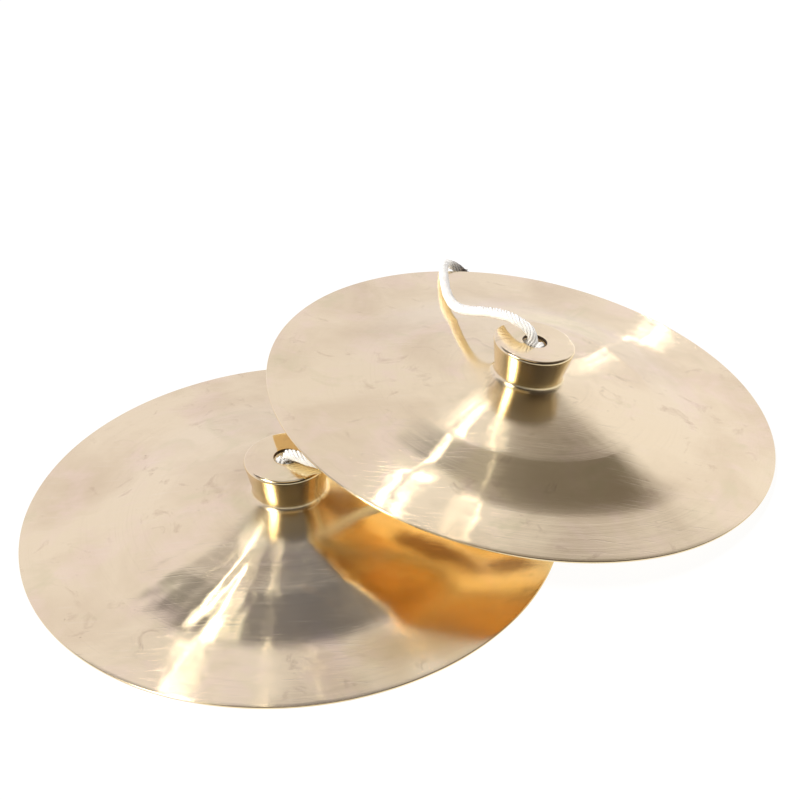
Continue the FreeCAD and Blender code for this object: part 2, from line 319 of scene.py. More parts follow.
ropes = hand_cord("lower", LOWER_ROUTE, LOWER_TAIL, LOWER, "lower_hand_cord", 11, 3.4)
ropes += hand_cord("upper", UPPER_ROUTE, UPPER_TAIL, UPPER, "upper_hand_cord", 23, -0.45)


# -------------------------------------------------------------- the plates
def rounded(points, radii, fine):
    """A 2-D outline whose corners are arcs, as lists of (r, z)."""
    out = []
    n = len(points)
    for i in range(n):
        p = np.array(points[i], float)
        a = np.array(points[i - 1], float) - p
        b = np.array(points[(i + 1) % n], float) - p
        la, lb = np.linalg.norm(a), np.linalg.norm(b)
        a, b = a / la, b / lb
        R = radii[i]
        if R <= 0:
            out.append([p])
            continue
        half = math.acos(max(-1.0, min(1.0, float(a @ b)))) / 2.0
        cut = R / math.tan(half)
        c = p + (a + b) / np.linalg.norm(a + b) * (R / math.sin(half))
        p0, p1 = p + a * cut - c, p + b * cut - c
        a0, a1 = math.atan2(p0[1], p0[0]), math.atan2(p1[1], p1[0])
        d = (a1 - a0 + math.pi) % (2 * math.pi) - math.pi
        k = max(3, int(abs(d) * R / fine[i]) + 1)
        out.append([c + R * np.array([math.cos(a0 + d * j / k), math.sin(a0 + d * j / k)]) for j in range(k + 1)])
    line = []
    for i in range(n):
        arc = out[i]
        nxt = out[(i + 1) % n][0]
        line += arc
        gap = np.linalg.norm(nxt - arc[-1])
        k = int(gap / 2.1)
        for j in range(1, k):
            f = j / k
            # closer together near the ends, so that the shading stays even
            f = f + 0.12 * math.sin(2 * math.pi * f) / (2 * math.pi)
            line.append(arc[-1] * (1 - f) + nxt * f)
    return np.array(line)


def field(rng, count, low, high, power=0.0):
    """A smooth random surface: many plane waves with wavelengths in mm."""
    lam = np.exp(rng.uniform(math.log(low), math.log(high), count))
    ang = rng.uniform(0, 2 * math.pi, count)
    ph = rng.uniform(0, 2 * math.pi, count)
    w = lam ** power
    w /= math.sqrt((w * w).sum() / 2.0)
    kx, ky = 2 * math.pi * np.cos(ang) / lam, 2 * math.pi * np.sin(ang) / lam

    def f(x, y):
        v = np.zeros_like(x)
        for i in range(count):
            v += w[i] * np.sin(kx[i] * x + ky[i] * y + ph[i])
        return v
    return f


def step(a, b, v):
    f = np.clip((v - a) / (b - a), 0.0, 1.0)
    return f * f * (3 - 2 * f)


def plate(name, place, crease, soft, seed, extra=None, shade_and_yellow_patches=(), patched_face="inside", dented=0.0095):
    under = crease - 1.45
    pts = [(6.9, 39.5), (24.0, 39.5), (19.5, 17.9), (26.5, 16.35), (77.0, crease), (108.0, 3.0),
           (150.0, 1.2), (150.0, 0.0), (146.0, 0.0), (108.2, 1.75), (76.8, under), (26.2, 14.85), (17.9, 16.4),
           (22.2, 37.5), (6.9, 37.5)]
    radii = [0.5, 1.7, 3.4, 30.0, soft, 110.0, 0.45, 0.45, 0.0, 90.0, soft, 30.0, 4.6, 1.2, 0.5]
    fine = [0.15, 0.3, 0.35, 1.2, 1.6, 1.7, 0.12, 0.12, 1.0, 1.9, 1.9, 1.4, 0.6, 0.4, 0.2]
    line = rounded(pts, radii, fine)
    d = np.r_[0.0, np.cumsum(np.linalg.norm(np.diff(np.vstack([line, line[:1]]), axis=0), axis=1))]
    k, m = len(line), 420
    top_count = int(np.argmax(line[:, 0]))
    rng = np.random.default_rng(seed)
    broad = field(rng, 30, 60.0, 130.0)
    hammer = field(rng, 60, 18.0, 45.0, 0.7)
    dents = field(rng, 90, 5.5, 15.0, 0.8)
    inner = field(rng, 40, 30.0, 90.0, 0.5)
    th = 2 * math.pi * np.arange(m) / m
    R, T = np.meshgrid(line[:, 0], th)           # m x k
    Z = np.repeat(line[None, :, 1], m, 0)
    X, Y = R * np.cos(T), R * np.sin(T)
    body = step(22.0, 44.0, R)
    flat = step(98, 116, R)
    w = body * (0.05 * broad(X, Y) + 0.0085 * (1 - 0.5 * flat) * hammer(X, Y) + dented * dents(X, Y) * (0.5 + 0.5 * step(40, 80, R) - 0.62 * flat))
    # the bend between cone and brim wanders a little in and out
    wander = np.zeros_like(T)
    for q in (2, 3, 5, 7):
        wander += rng.normal(0.0, 1.0 / math.sqrt(q)) * np.sin(q * T + rng.uniform(0, 6.28))
    w += 0.16 * wander * step(62, 84, R) * (1 - step(100, 124, R))
    # slow waves round the brim, as in hand-hammered sheet
    w += 0.06 * step(90, 150, R) * (np.sin(3 * T + seed) + 0.6 * np.sin(5 * T + 2.1 * seed))
    if extra is not None:
        w = w + extra(R, T, X, Y)
    # the inner face is rougher, with shallow radial strokes
    top_face = np.repeat((np.arange(k) < top_count)[None, :], m, 0)
    strokes = 0.030 * np.sin(13 * T + 1.3 * np.sin(2 * T) + R * 0.02) + 0.022 * np.sin(23 * T - R * 0.035) + 0.11 * inner(X, Y) / 1.4
    w += np.where(top_face, 0.0, strokes * step(40, 80, R) * (1 - step(132, 144, R)))
    Zw = Z + np.where(Z < 38.0, w, 0.0) * (R > 21.9)
    local = np.stack([X, Y, Zw], 2).reshape(-1, 3) / 1000.0
    turn = np.array(place.to_3x3())
    # the side of the knob was turned by hand and is not quite round
    side = (Z > 18.6) & (Z < 37.6) & (R > 18.0) & top_face
    lump = 0.030 * np.sin(7 * T + seed) + 0.022 * np.sin(12 * T + 2 * seed) + 0.012 * np.sin(19 * T + seed) + 0.008 * np.sin(31 * T)
    lump = (lump * side * np.sin(np.clip((Z - 18.6) / 19.0, 0, 1) * math.pi)).ravel() / 1000.0
    local[:, 0] += lump * np.cos(T.ravel())
    local[:, 1] += lump * np.sin(T.ravel())
    verts = local @ turn.T + np.array(place.translation)
    faces, uvs = [], []
    for i in range(m):
        i2 = (i + 1) % m
        for j in range(k):
            j2 = (j + 1) % k
            faces.append((i * k + j, i2 * k + j, i2 * k + j2, i * k + j2))
            a0, a1 = i / m, (i + 1) / m
            s0, s1 = d[j] / 1000.0, d[j + 1] / 1000.0
            uvs += [(s0, a0), (s0, a1), (s1, a1), (s1, a0)]
    inside = np.repeat((np.arange(k) >= top_count + 3)[None, :], m, 0).astype(float)
    # patches on one face: on the inner face they are painted shade, seen darkening the gap between the plates; on the
    # outer face they are yellow
    shade_and_yellow_patch = np.zeros_like(R)
    for cx, cy, rx, ry, turned in shade_and_yellow_patches:
        c, q = math.cos(math.radians(turned)), math.sin(math.radians(turned))
        u, v = ((X - cx) * c + (Y - cy) * q) / rx, (-(X - cx) * q + (Y - cy) * c) / ry
        hard = 0.5 if patched_face == "inside" else 0.0
        shade_and_yellow_patch = np.maximum(shade_and_yellow_patch, 1 - step(hard, 1.2 if hard else 1.5, np.sqrt(u * u + v * v) + 0.10 * hammer(X, Y)))
    shade_and_yellow_patch = shade_and_yellow_patch * (inside if patched_face == "inside" else 1 - inside)
    return add_mesh(name, verts, faces, uvs, {"local": local, "inside": inside.ravel(), "shade_and_yellow_patch": shade_and_yellow_patch.ravel()})


def ridge(rng, angles, height, width, first, last):
    """A long raised fold in the sheet that wanders along one direction, as a function of the place on the plate."""
    rs = np.array([a[0] for a in angles], float)
    ts = np.radians([a[1] for a in angles])
    ph = rng.uniform(0, 6.28, 4)

    def f(R, T, X, Y):
        t0 = np.interp(R, rs, ts)
        side = 1.15 * np.sin(R / 2.9 + ph[0]) + 0.9 * np.sin(R / 1.7 + ph[1]) + 1.3 * np.sin(R / 6.1 + ph[2])
        d = (np.mod(T - t0 + math.pi, 2 * math.pi) - math.pi) * R - side
        return height * np.exp(-(d / width) ** 2) * step(first, first + 14, R) * (1 - 0.75 * step(last - 4, last + 2, R))
    return f


def flutes(R, T, X, Y):
    """Spiral hammer flutes on the left of the flat plate's cone."""
    az = (np.degrees(T) + 360.0) % 360.0
    here = step(168, 196, az) * (1 - step(246, 262, az))
    band = step(48, 72, R) * (1 - step(100, 118, R))
    spiral = np.radians(az) * 27.0 + (R - 60.0) * 0.060 + 1.1 * np.sin(np.radians(az) * 7.0)
    return 0.048 * here * band * (np.sin(spiral) + 0.6 * np.sin(1.7 * spiral + 1.0))


wander = np.random.default_rng(77)
lower_folds = [flutes,
               ridge(wander, [(95, -112.2), (112, -111.3), (126, -111.0), (139, -111.8), (150, -113.4)], 0.026, 5.0, 98, 150),
               ridge(wander, [(108, -79.0), (144, -81.5)], 0.030, 4.5, 104, 150)]
upper_folds = [ridge(wander, [(66, -126.5), (83, -125.8), (98, -125.4), (113, -126.0), (127, -126.4), (145, -127.5)], 0.030, 5.0, 88, 146),
               ridge(wander, [(91, -106.5), (108, -105.1), (123, -104.8), (145, -105.0)], 0.026, 4.5, 92, 150),
               ridge(wander, [(91, 41.0), (118, 45.0), (134, 45.6), (152, 46.4)], 0.030, 5.0, 94, 150)]
# the flat plate has one yellow patch on its outer face; the leaning plate has painted shade in dark patches on its
# inner face
lower_plate = plate("lower_plate_metal", LOWER, 8.7, 120.0, 5, lambda *a: sum(f(*a) for f in lower_folds),
                    [(78, -106, 52, 20, 24)], "outside")
upper_plate = plate("upper_plate_metal", UPPER, 10.1, 40.0, 9, lambda *a: sum(f(*a) for f in upper_folds),
                    [(-47, -82, 30, 12, -12), (-10, -81, 20, 8, 0), (-103, -44, 19, 27, 0), (-96, 78, 38, 17, 60)], dented=0.0050)
for ob, node, body in ((lower_plate, "lower_plate", "lower"), (upper_plate, "upper_plate", "upper")):
    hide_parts(node)
    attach(ob, body)


# --------------------------------------------------------------- materials
class Nodes:
    def __init__(self, name):
        self.mat = bpy.data.materials.new(name)
        self.mat.use_nodes = True
        self.t = self.mat.node_tree
        self.t.nodes.clear()
        self.out = self.add("ShaderNodeOutputMaterial")

    def add(self, kind, **kw):
        n = self.t.nodes.new(kind)
        for k, v in kw.items():
            setattr(n, k, v)
        return n

    def link(self, a, b):
        self.t.links.new(a, b)

    def value(self, socket, v):
        if isinstance(v, bpy.types.NodeSocket):
            self.link(v, socket)
        else:
            socket.default_value = v

    def math(self, op, a, b=0.0, c=0.0, clamp=False):
        n = self.add("ShaderNodeMath", operation=op, use_clamp=clamp)
        for s, v in zip(n.inputs, (a, b, c)):
            self.value(s, v)
        return n.outputs[0]

    def combine(self, x, y, z):
        n = self.add("ShaderNodeCombineXYZ")
        for s, v in zip(n.inputs, (x, y, z)):
            self.value(s, v)
        return n.outputs[0]

    def noise(self, vec, scale, detail=2.0, rough=0.5, distortion=0.0):
        n = self.add("ShaderNodeTexNoise")
        self.link(vec, n.inputs["Vector"])
        n.inputs["Scale"].default_value = scale
        n.inputs["Detail"].default_value = detail
        n.inputs["Roughness"].default_value = rough
        n.inputs["Distortion"].default_value = distortion
        return n.outputs["Fac"]

    def ramp(self, fac, stops):
        n = self.add("ShaderNodeValToRGB")
        self.link(fac, n.inputs[0])
        el = n.color_ramp.elements
        while len(el) > 1:
            el.remove(el[-1])
        for i, (p, c) in enumerate(stops):
            e = el[0] if i == 0 else el.new(p)
            e.position = p
            c = (c, c, c) if isinstance(c, (int, float)) else c
            e.color = (c[0], c[1], c[2], 1.0)
        return n.outputs[0]

    def mix(self, fac, a, b, mode="MIX"):
        # the node has one set of sockets for each data type: 0, 6 and 7 are the colour ones
        n = self.add("ShaderNodeMix", data_type="RGBA", blend_type=mode)
        self.value(n.inputs[0], fac)
        for s, v in ((n.inputs[6], a), (n.inputs[7], b)):
            if isinstance(v, tuple):
                v = (v[0], v[1], v[2], 1.0)
            self.value(s, v)
        return n.outputs[2]

    def mix_value(self, fac, a, b):
        return self.math("ADD", self.math("MULTIPLY", self.math("SUBTRACT", 1.0, fac), a), self.math("MULTIPLY", fac, b))


def brass(name, shift, groove=0.0):
    m = Nodes(name)
    at = m.add("ShaderNodeAttribute", attribute_type="GEOMETRY", attribute_name="local")
    off = m.add("ShaderNodeVectorMath", operation="ADD")
    m.link(at.outputs["Vector"], off.inputs[0])
    off.inputs[1].default_value = (shift, -shift * 0.7, 0.0)
    vec = off.outputs[0]
    sep = m.add("ShaderNodeSeparateXYZ")
    m.link(at.outputs["Vector"], sep.inputs[0])
    x, y, z = sep.outputs
    r = m.math("SQRT", m.math("ADD", m.math("MULTIPLY", x, x), m.math("MULTIPLY", y, y)))
    # turned rings: quick across the radius, slow along the turn
    ring_v = m.combine(m.math("MULTIPLY", r, 1500.0), m.math("MULTIPLY", x, 16.0), m.math("MULTIPLY", y, 16.0))
    rings = m.noise(ring_v, 1.0, 3.0, 0.6)
    wide_v = m.combine(m.math("MULTIPLY", r, 260.0), m.math("MULTIPLY", x, 9.0), m.math("MULTIPLY", y, 9.0))
    wide = m.noise(wide_v, 1.0, 2.0, 0.5)
    # rubbed scratches in two directions
    rot = m.add("ShaderNodeMapping")
    m.link(vec, rot.inputs["Vector"])
    rot.inputs["Rotation"].default_value = (0, 0, 0.5 + shift * 3)
    rot.inputs["Scale"].default_value = (38.0, 900.0, 38.0)
    scr1 = m.noise(rot.outputs[0], 1.0, 2.0, 0.6)
    rot2 = m.add("ShaderNodeMapping")
    m.link(vec, rot2.inputs["Vector"])
    rot2.inputs["Rotation"].default_value = (0, 0, -0.9)
    rot2.inputs["Scale"].default_value = (30.0, 700.0, 30.0)
    scr2 = m.noise(rot2.outputs[0], 1.0, 2.0, 0.6)
    scr = m.math("MAXIMUM", m.ramp(scr1, [(0.60, 0.0), (0.72, 1.0)]), m.ramp(scr2, [(0.63, 0.0), (0.75, 1.0)]))
    # tarnish: broad clouds, finger smudges and small spots
    cloud = m.noise(vec, 16.0, 4.0, 0.55, 0.4)
    smudge = m.noise(vec, 48.0, 5.0, 0.62, 1.2)
    speck = m.noise(vec, 420.0, 2.0, 0.5)
    tarnish = m.ramp(cloud, [(0.42, 0.0), (0.70, 1.0)])
    dirt = m.ramp(smudge, [(0.60, 0.0), (0.74, 1.0)])
    spots = m.math("MULTIPLY", m.ramp(speck, [(0.72, 0.0), (0.78, 1.0)]), m.ramp(smudge, [(0.52, 0.0), (0.66, 1.0)]))
    base = m.mix(tarnish, (0.910, 0.757, 0.474), (0.785, 0.628, 0.385))
    base = m.mix(m.math("MULTIPLY", dirt, 0.60), base, (0.60, 0.45, 0.28))
    blush = m.ramp(m.noise(vec, 31.0, 3.0, 0.6, 0.5), [(0.50, 0.0), (0.66, 1.0)])
    base = m.mix(m.math("MULTIPLY", blush, 0.40), base, (0.93, 0.72, 0.53))
    bloom = m.ramp(m.noise(off.outputs[0], 22.0, 3.0, 0.6, 0.9), [(0.30, 1.0), (0.42, 0.0)])
    base = m.mix(m.math("MULTIPLY", bloom, 0.55), base, (0.76, 0.66, 0.38))
    base = m.mix(m.math("MULTIPLY", spots, 0.55), base, (0.30, 0.19, 0.11))
    base = m.mix(m.math("MULTIPLY", m.ramp(rings, [(0.30, 1.0), (0.46, 0.0)]), 0.10), base, (0.62, 0.46, 0.28))
    base = m.mix(m.math("MULTIPLY", scr, 0.16), base, (0.95, 0.83, 0.62))
    rough = m.math("ADD", 0.098, m.math("MULTIPLY", tarnish, 0.025))
    rough = m.math("ADD", rough, m.math("MULTIPLY", dirt, 0.06))
    # the sheet is less polished close round the neck, where the wheel can't reach, and on its inner face
    neck = m.add("ShaderNodeMapRange", interpolation_type="SMOOTHSTEP")
    m.link(r, neck.inputs["Value"])
    for key, v in (("From Min", 0.024), ("From Max", 0.052), ("To Min", 1.0), ("To Max", 0.0)):
        neck.inputs[key].default_value = v
    low = m.math("LESS_THAN", z, 0.0185)
    rough = m.math("ADD", rough, m.math("MULTIPLY", m.math("MULTIPLY", neck.outputs[0], low), 0.13))
    ins = m.add("ShaderNodeAttribute", attribute_type="GEOMETRY", attribute_name="inside")
    old = m.math("MULTIPLY", ins.outputs["Fac"], m.ramp(m.noise(vec, 26.0, 3.0, 0.55, 0.8), [(0.40, 0.15), (0.62, 0.85)]))
    base = m.mix(m.math("MULTIPLY", ins.outputs["Fac"], 0.75), base, (0.93, 0.80, 0.56))
    base = m.mix(m.math("MULTIPLY", old, 0.22), base, (0.62, 0.43, 0.20))
    rough = m.math("ADD", rough, m.math("MULTIPLY", ins.outputs["Fac"], 0.06))
    rough = m.math("ADD", rough, m.math("MULTIPLY", m.math("MULTIPLY", m.math("GREATER_THAN", z, 0.0185), m.math("LESS_THAN", z, 0.0375)), 0.07))
    # patches: painted shade, nearly black, on the inner face; a yellow patch on the outer face
    shade_and_yellow_patch = m.add("ShaderNodeAttribute", attribute_type="GEOMETRY", attribute_name="shade_and_yellow_patch")
    base = m.mix(m.math("MULTIPLY", shade_and_yellow_patch.outputs["Fac"], m.mix_value(ins.outputs["Fac"], 0.6, 0.9)), base, m.mix(ins.outputs["Fac"], (0.86, 0.63, 0.28), (0.20, 0.10, 0.04)))
    rough = m.math("ADD", rough, m.math("MULTIPLY", shade_and_yellow_patch.outputs["Fac"], m.mix_value(ins.outputs["Fac"], 0.10, 0.0)))
    # the bore of the knob is dull, and painted dark as shade
    bore = m.math("MULTIPLY", m.math("LESS_THAN", r, 0.0073), m.math("GREATER_THAN", z, 0.0365))
    base = m.mix(m.math("MULTIPLY", bore, 0.92), base, (0.10, 0.062, 0.034))
    rough = m.math("ADD", rough, m.math("MULTIPLY", bore, 0.3))
    rough = m.math("ADD", rough, m.math("MULTIPLY", m.math("SUBTRACT", wide, 0.5), 0.03))
    height = m.math("ADD", m.math("MULTIPLY", rings, 0.5), m.math("MULTIPLY", wide, 1.2))
    height = m.math("ADD", height, m.math("MULTIPLY", scr, 0.35))
    if groove:
        off_line = m.math("DIVIDE", m.math("SUBTRACT", r, 0.0768), 0.0009)
        line_ = m.math("POWER", 2.718, m.math("MULTIPLY", m.math("MULTIPLY", off_line, off_line), -1.0))
        height = m.math("SUBTRACT", height, m.math("MULTIPLY", line_, m.math("MULTIPLY", cloud, groove)))
    bump = m.add("ShaderNodeBump")
    bump.inputs["Strength"].default_value = 0.8
    bump.inputs["Distance"].default_value = 0.00003
    m.link(height, bump.inputs["Height"])
    tan = m.add("ShaderNodeTangent", direction_type="UV_MAP", uv_map="turn")
    p = m.add("ShaderNodeBsdfPrincipled")
    p.inputs["Metallic"].default_value = 1.0
    p.inputs["Anisotropic"].default_value = 1.0
    m.link(tan.outputs[0], p.inputs["Tangent"])
    m.link(base, p.inputs["Base Color"])
    m.link(rough, p.inputs["Roughness"])
    m.link(bump.outputs[0], p.inputs["Normal"])
    m.link(p.outputs[0], m.out.inputs["Surface"])
    return m.mat


def cotton(name):
    m = Nodes(name)
    uv = m.add("ShaderNodeUVMap", uv_map="turn")
    sep = m.add("ShaderNodeSeparateXYZ")
    m.link(uv.outputs[0], sep.inputs[0])
    s, v = sep.outputs[0], sep.outputs[1]
    at = m.add("ShaderNodeAttribute", attribute_type="GEOMETRY", attribute_name="local")
    dep = m.add("ShaderNodeAttribute", attribute_type="GEOMETRY", attribute_name="depth")
    # fibres run along each yarn
    fib = m.noise(m.combine(m.math("MULTIPLY", s, 420.0), m.math("MULTIPLY", v, 150.0), 0.0), 1.0, 3.0, 0.65, 0.6)
    lint = m.noise(at.outputs["Vector"], 900.0, 3.0, 0.6)
    soil_and_end_shade = m.noise(at.outputs["Vector"], 55.0, 3.0, 0.55)
    col = m.mix(m.ramp(soil_and_end_shade, [(0.45, 0.0), (0.75, 1.0)]), (0.90, 0.885, 0.845), (0.80, 0.765, 0.690))
    col = m.mix(m.math("MULTIPLY", m.ramp(fib, [(0.30, 1.0), (0.52, 0.0)]), 0.35), col, (0.66, 0.61, 0.53))
    clump = m.noise(at.outputs["Vector"], 210.0, 2.0, 0.5)
    # painted shade in the grooves between the yarns, stronger in some clumps than in others
    groove_shade = m.math("SUBTRACT", 1.0, m.ramp(dep.outputs["Fac"], [(0.30, 0.0), (0.62, 1.0)]))
    groove_shade = m.math("MULTIPLY", groove_shade, m.ramp(clump, [(0.36, 0.35), (0.58, 1.0)]))
    col = m.mix(m.math("MULTIPLY", groove_shade, 0.95), col, (0.12, 0.092, 0.07))
    # painted shade: the cut end of the cord is darkened nearly to black, flecked by the lint noise
    tip_shade = m.add("ShaderNodeAttribute", attribute_type="GEOMETRY", attribute_name="tip_shade")
    col = m.mix(tip_shade.outputs["Fac"], col, m.mix(m.ramp(lint, [(0.42, 0.0), (0.60, 1.0)]), (0.012, 0.007, 0.004), (0.11, 0.075, 0.050)))
    height = m.math("ADD", m.math("MULTIPLY", fib, 1.0), m.math("MULTIPLY", lint, 0.6))
    bump = m.add("ShaderNodeBump")
    bump.inputs["Strength"].default_value = 0.9
    bump.inputs["Distance"].default_value = 0.00022
    m.link(height, bump.inputs["Height"])
    p = m.add("ShaderNodeBsdfPrincipled")
    p.inputs["Roughness"].default_value = 0.92
    p.inputs["Specular IOR Level"].default_value = 0.2
    p.inputs["Sheen Weight"].default_value = 0.12
    p.inputs["Sheen Roughness"].default_value = 0.45
    m.link(col, p.inputs["Base Color"])
    m.link(bump.outputs[0], p.inputs["Normal"])
    m.link(p.outputs[0], m.out.inputs["Surface"])
    return m.mat


lower_plate.data.materials.append(brass("lower_brass", 0.37))
upper_plate.data.materials.append(brass("upper_brass", 0.81, 1.6))
white = cotton("cotton_cord")
for ob in ropes:
    ob.data.materials.append(white)
for nm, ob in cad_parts.items():
    ob.data.materials.clear()
    ob.data.materials.append(white if ("cord" in nm or "knot" in nm) else lower_plate.data.materials[0])

# ------------------------------------------------------------------- stage
floor = add_mesh("floor", [(-6, -6, 0), (6, -6, 0), (6, 6, 0), (-6, 6, 0)], [(0, 1, 2, 3)])
fm = Nodes("floor_paper")
p = fm.add("ShaderNodeBsdfPrincipled")
p.inputs["Base Color"].default_value = (0.93, 0.93, 0.93, 1)
p.inputs["Roughness"].default_value = 0.9
p.inputs["Specular IOR Level"].default_value = 0.0
glow = fm.add("ShaderNodeEmission")
glow.inputs[0].default_value = (1.0, 0.995, 0.985, 1)
glow.inputs[1].default_value = 1.06
both = fm.add("ShaderNodeMixShader")
both.inputs[0].default_value = 0.90
fm.link(p.outputs[0], both.inputs[1])
fm.link(glow.outputs[0], both.inputs[2])
fm.link(both.outputs[0], fm.out.inputs["Surface"])
floor.data.materials.append(fm.mat)

# The room: pale behind the object up to about 50 degrees, darker overhead and behind the camera.
world = bpy.data.worlds.new("studio")
scene.world = world
world.use_nodes = True
wn = Nodes.__new__(Nodes)
wn.t = world.node_tree
wn.t.nodes.clear()
tc = wn.add("ShaderNodeTexCoord")
sp = wn.add("ShaderNodeSeparateXYZ")
wn.link(tc.outputs["Generated"], sp.inputs[0])
turn_ = wn.math("ARCTAN2", sp.outputs[1], sp.outputs[0])
az_u = wn.math("ADD", wn.math("DIVIDE", turn_, 2 * math.pi), 0.5)
elev = wn.math("DIVIDE", wn.math("ARCSINE", sp.outputs[2]), math.pi / 2)


def around(stops):
    return wn.ramp(az_u, [((a + 180.0) / 360.0, v) for a, v in stops])


edge_at = around([(-180, 0.42), (-165, 0.33), (-145, 0.22), (-90, 0.18), (-30, 0.18), (0, 0.20), (20, 0.28), (36, 0.390), (48, 0.412),
                  (57, 0.376), (62, 0.392), (66, 0.413), (69, 0.452), (73, 0.530), (78, 0.590), (86, 0.598), (92, 0.590), (97, 0.595), (103, 0.61), (109, 0.585), (116, 0.55), (130, 0.55), (155, 0.50), (180, 0.42)])
light_at = around([(-180, (0.88, 0.88, 1.05)), (-150, (0.36, 0.36, 0.42)), (-90, (0.24, 0.24, 0.27)), (-30, (0.22, 0.21, 0.22)), (0, (0.30, 0.27, 0.26)), (25, (0.50, 0.47, 0.46)), (38, (0.94, 0.93, 1.07)),
                   (48, (0.97, 0.96, 1.12)), (66, (0.97, 0.96, 1.12)), (80, (0.88, 0.87, 1.02)), (95, (0.87, 0.86, 1.02)), (110, (0.91, 0.90, 1.08)), (180, (0.88, 0.88, 1.05))])
dark_at = around([(-180, (0.10, 0.10, 0.12)), (-150, (0.05, 0.045, 0.05)), (-90, (0.04, 0.035, 0.035)), (0, (0.05, 0.04, 0.04)), (30, (0.18, 0.16, 0.15)), (46, (0.22, 0.20, 0.19)), (56, (0.20, 0.18, 0.17)), (62, (0.24, 0.22, 0.22)),
                  (67, (0.30, 0.28, 0.29)), (75, (0.31, 0.29, 0.31)), (80, (0.22, 0.21, 0.25)), (85, (0.15, 0.155, 0.21)), (95, (0.16, 0.165, 0.23)), (105, (0.22, 0.22, 0.28)), (118, (0.28, 0.28, 0.33)), (140, (0.24, 0.24, 0.28)), (180, (0.10, 0.10, 0.12))])
soft_at = around([(-180, 0.055), (20, 0.055), (40, 0.115), (58, 0.105), (68, 0.075), (82, 0.060), (180, 0.055)])
over = wn.math("DIVIDE", wn.math("SUBTRACT", elev, edge_at), soft_at)
over = wn.math("ADD", over, 0.5, clamp=True)
over = wn.math("MULTIPLY", wn.math("MULTIPLY", over, over), wn.math("SUBTRACT", 3.0, wn.math("MULTIPLY", over, 2.0)))
room = wn.mix(over, light_at, dark_at)
# a skylight overhead that comes further down on the camera's side
roof_at = around([(-180, 0.80), (-150, 0.72), (-120, 0.67), (-60, 0.67), (-30, 0.72), (0, 0.80), (25, 0.85), (150, 0.85), (180, 0.80)])
sky = wn.math("MULTIPLY", wn.math("SUBTRACT", elev, roof_at), 14.0, clamp=True)
sky_at = around([(-180, (0.92, 1.00, 1.20)), (-145, (0.62, 0.46, 0.27)), (-35, (0.62, 0.46, 0.27)), (0, (0.92, 1.00, 1.20)), (30, (0.92, 1.04, 1.34)), (180, (0.92, 1.04, 1.34))])
room = wn.mix(sky, room, sky_at)
bg = wn.add("ShaderNodeBackground")
wn.link(room, bg.inputs[0])
bg.inputs[1].default_value = 1.0
plain = wn.add("ShaderNodeBackground")
plain.inputs[0].default_value = (0.99, 0.99, 0.99, 1)
lp = wn.add("ShaderNodeLightPath")
mx = wn.add("ShaderNodeMixShader")
wn.link(lp.outputs["Is Camera Ray"], mx.inputs[0])
wn.link(bg.outputs[0], mx.inputs[1])
wn.link(plain.outputs[0], mx.inputs[2])
wo = wn.add("ShaderNodeOutputWorld")
wn.link(mx.outputs[0], wo.inputs[0])

scene.cycles.glossy_bounces = 12
scene.cycles.max_bounces = 14


def collection(name, members):
    c = bpy.data.collections.new(name)
    for o in members:
        c.objects.link(o)
    return c


def strip(name, at, first_dir, last_dir, width, radiance, members, colour=(1, 1, 1), reach=4.0):
    """A long narrow lamp, seen from a point on the metal between two directions."""
    a, b = Vector(first_dir).normalized(), Vector(last_dir).normalized()
    mid = (a + b).normalized()
    x = (b - a).normalized()
    x = (x - mid * x.dot(mid)).normalized()
    y = mid.cross(x)
    data = bpy.data.lights.new(name, "AREA")
    data.shape = "RECTANGLE"
    data.size = (b - a).length * reach
    data.size_y = width * reach
    data.energy = math.pi * data.size * data.size_y * radiance
    data.color = colour
    ob = bpy.data.objects.new(name, data)
    scene.collection.objects.link(ob)
    where = Vector(at) + mid * reach
    ob.matrix_world = Matrix(((x.x, y.x, mid.x, where.x), (x.y, y.y, mid.y, where.y), (x.z, y.z, mid.z, where.z), (0, 0, 0, 1)))
    ob.visible_camera = False
    ob.light_linking.receiver_collection = collection(name + "_lights", members)
    return ob


def sun(name, toward, strength, angle, members, colour=(1, 1, 1), glossy=True):
    data = bpy.data.lights.new(name, "SUN")
    data.energy = strength
    data.angle = angle
    data.color = colour
    ob = bpy.data.objects.new(name, data)
    scene.collection.objects.link(ob)
    ob.rotation_euler = Vector(toward).to_track_quat("Z", "Y").to_euler()
    ob.location = Vector(toward) * 2.0
    ob.visible_glossy = glossy
    if members:
        ob.light_linking.receiver_collection = collection(name + "_lights", members)
    return ob


# narrow window slits behind the object, which draw the bright lines across the turned metal
LO, UP = [lower_plate], [upper_plate]
WARM = (1.0, 0.97, 0.92)
strip("slit_lower_brim", (-0.1120, -0.1560, 0.002), (-0.1930, 0.6750, 0.712), (-0.1995, 0.625, 0.755), 0.005, 10.0, LO)
strip("slit_lower_cone", (-0.0850, -0.0790, 0.013), (-0.2060, 0.600, 0.773), (-0.2080, 0.538, 0.817), 0.009, 5.5, LO)
strip("slit_lower_bend", (-0.1000, -0.1180, 0.006), (-0.2200, 0.540, 0.812), (-0.2560, 0.450, 0.855), 0.020, 8.0, LO)
strip("glow_lower_bend", (-0.0960, -0.1150, 0.006), (-0.2050, 0.530, 0.823), (-0.2500, 0.430, 0.867), 0.110, 1.3, LO)
strip("slit_lower_b", (-0.0675, -0.0790, 0.0137), (-0.1180, 0.580, 0.806), (-0.1020, 0.520, 0.848), 0.014, 2.2, LO, WARM)
strip("slit_lower_c", (-0.0437, -0.1600, 0.0022), (-0.0622, 0.668, 0.742), (-0.0600, 0.635, 0.770), 0.006, 2.4, LO, WARM)
strip("slit_upper_brim", (-0.0040, -0.0650, 0.0437), (0.1740, 0.805, 0.567), (0.1580, 0.742, 0.651), 0.004, 10.0, UP)
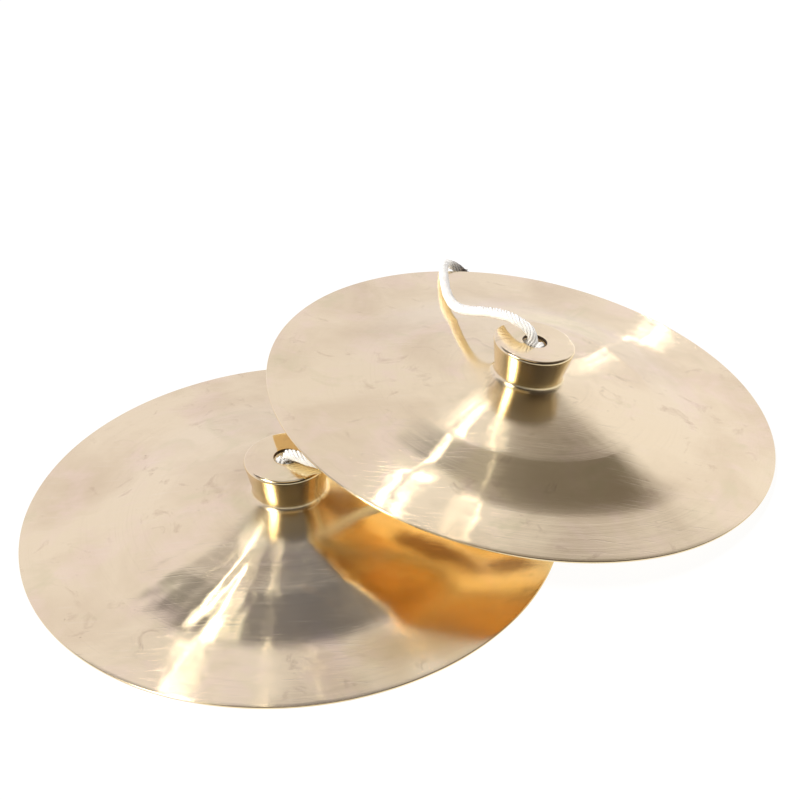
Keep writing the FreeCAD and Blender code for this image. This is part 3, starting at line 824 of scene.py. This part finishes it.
strip("slit_upper_cone", (0.0410, -0.0030, 0.0458), (0.1720, 0.755, 0.633), (0.1560, 0.685, 0.712), 0.004, 11.0, UP)
strip("slit_upper_bend", (0.0170, -0.0390, 0.0440), (0.0900, 0.630, 0.771), (0.0600, 0.530, 0.846), 0.006, 9.0, UP)
strip("slit_upper_b_cone", (0.0550, -0.0050, 0.0443), (0.2130, 0.725, 0.655), (0.2230, 0.675, 0.703), 0.008, 4.0, UP, WARM)
strip("slit_upper_b_bend", (0.0420, -0.0600, 0.0380), (0.2000, 0.540, 0.817), (0.2050, 0.490, 0.847), 0.006, 2.0, UP, WARM)
strip("slit_upper_b_brim", (0.0350, -0.0900, 0.0365), (0.2420, 0.770, 0.590), (0.2370, 0.725, 0.646), 0.005, 4.5, UP, WARM)
strip("slit_upper_o_cone", (0.1180, 0.0810, 0.0280), (0.3250, 0.935, 0.140), (0.3300, 0.895, 0.300), 0.003, 6.0, UP)
strip("slit_upper_o_brim", (0.1600, 0.1310, 0.0102), (0.3320, 0.900, 0.280), (0.3320, 0.860, 0.388), 0.005, 9.0, UP)
# a tall window to the left of the camera, which the sides of the knobs pick up
strip("window_left", (0.0, 0.0, 0.04), (-0.68, -0.42, 0.60), (-0.52, -0.32, 0.79), 0.26, 19.0, LO + UP)
strip("window_left_wide", (0.0, 0.0, 0.04), (-0.70, -0.42, 0.58), (-0.48, -0.29, 0.83), 0.50, 3.6, LO + UP)
strip("window_left_haze", (0.0, 0.0, 0.04), (-0.72, -0.43, 0.55), (-0.46, -0.28, 0.84), 0.84, 0.5, LO + UP, (1.0, 0.82, 0.58))
# a paler patch of the room that only the leaning plate sees
strip("haze_upper_a", (0.02, -0.02, 0.04), (0.10, 0.60, 0.79), (0.24, 0.52, 0.82), 0.16, 0.19, UP)
# soft light for the cotton cords and the floor
sun("key", (-0.75, -0.35, 1.0), 3.0, 0.25, ropes + [floor], (1.0, 0.99, 0.97), glossy=False)
sun("side", (-1.0, 0.5, 0.30), 1.5, 0.2, ropes, (1.0, 0.985, 0.96), glossy=False)
sun("fill", (1.0, -0.5, 0.55), 1.6, 0.3, ropes, (1.0, 1.0, 1.0), glossy=False)
# the glow that the brass throws up onto the underside of its own cord
glow_up = sun("brass_glow", (-0.6, -0.35, -0.8), 1.7, 0.6, ropes, (1.0, 0.86, 0.62), glossy=False)
glow_up.light_linking.blocker_collection = collection("brass_glow_blockers", ropes)
# a white card on the table behind, seen only through the gap between the plates
card = strip("card", (0.05, 0.17, 0.0), (-0.02, 0.06, 1.0), (0.06, -0.02, 1.0), 0.0, 0.0, LO + UP)
card.matrix_world = Matrix(((1, 0, 0, 0.05), (0, 1, 0, 0.17), (0, 0, 1, 0.0006), (0, 0, 0, 1))) @ Matrix.Rotation(math.pi, 4, "X")
card.data.size, card.data.size_y = 0.30, 0.16
card.data.energy = math.pi * 0.30 * 0.16 * 0.75
